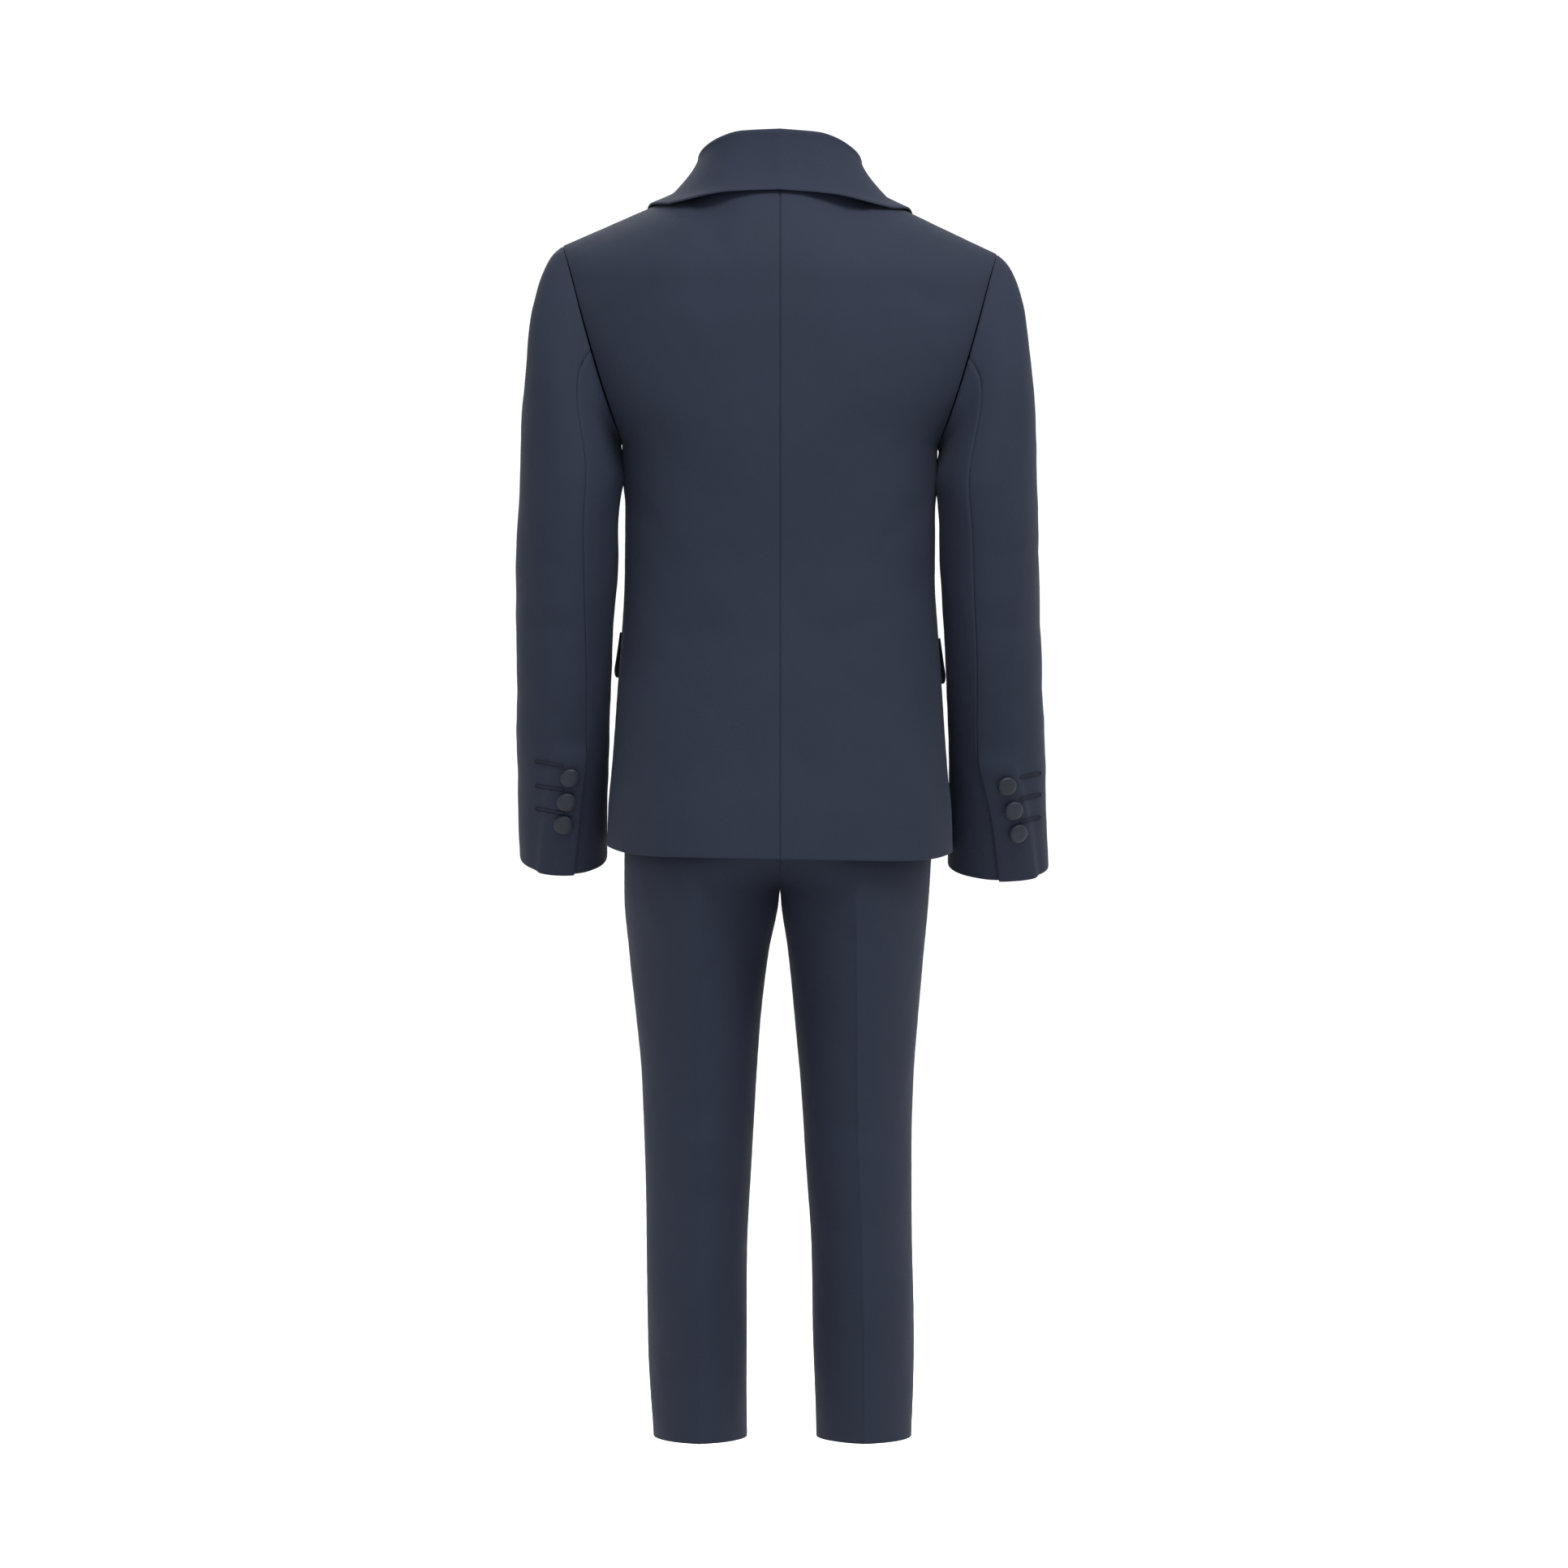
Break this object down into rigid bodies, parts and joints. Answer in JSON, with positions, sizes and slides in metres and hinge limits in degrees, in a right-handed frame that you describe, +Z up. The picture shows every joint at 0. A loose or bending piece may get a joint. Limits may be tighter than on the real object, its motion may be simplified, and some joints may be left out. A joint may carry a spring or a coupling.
{
  "type": "tuxedo suit for a child",
  "caption": "Jacket with peak lapels and vented cuffs over creased trousers, both filled out and open at neck, hems and cuffs.",
  "frame": {"origin": "on the jacket's centre line, midway between the two side neck points, where the shoulders carry the jacket", "axes": "+Z up, from the trouser hems to the neck; -Y is the front of the suit; +X is the wearer's left"},
  "size_m": [0.421, 0.223, 1.0276],
  "materials": {
    "suiting": "dark navy worsted wool twill",
    "satin": "dark navy satin",
    "satin_buttons": "satin-covered buttons",
    "waist_button": "dark sewn button"
  },
  "bodies": {
    "root": {"jacket_back_left": "suiting", "jacket_back_right": "suiting", "jacket_front_left": "suiting", "jacket_front_right": "suiting", "sleeve_top_left": "suiting", "sleeve_under_left": "suiting", "sleeve_top_right": "suiting", "sleeve_under_right": "suiting", "collar": "suiting", "lapel_left": "satin", "lapel_right": "satin", "pocket_flap_left": "suiting", "pocket_flap_right": "suiting", "front_button": "satin_buttons", "cuff_button_left_1": "satin_buttons", "cuff_button_left_2": "satin_buttons", "cuff_button_left_3": "satin_buttons", "cuff_button_right_1": "satin_buttons", "cuff_button_right_2": "satin_buttons", "cuff_button_right_3": "satin_buttons", "trouser_front_left": "suiting", "trouser_back_left": "suiting", "trouser_front_right": "suiting", "trouser_back_right": "suiting", "waistband_left": "suiting", "waistband_right": "suiting", "waist_button": "waist_button"}
  },
  "joints": []
}
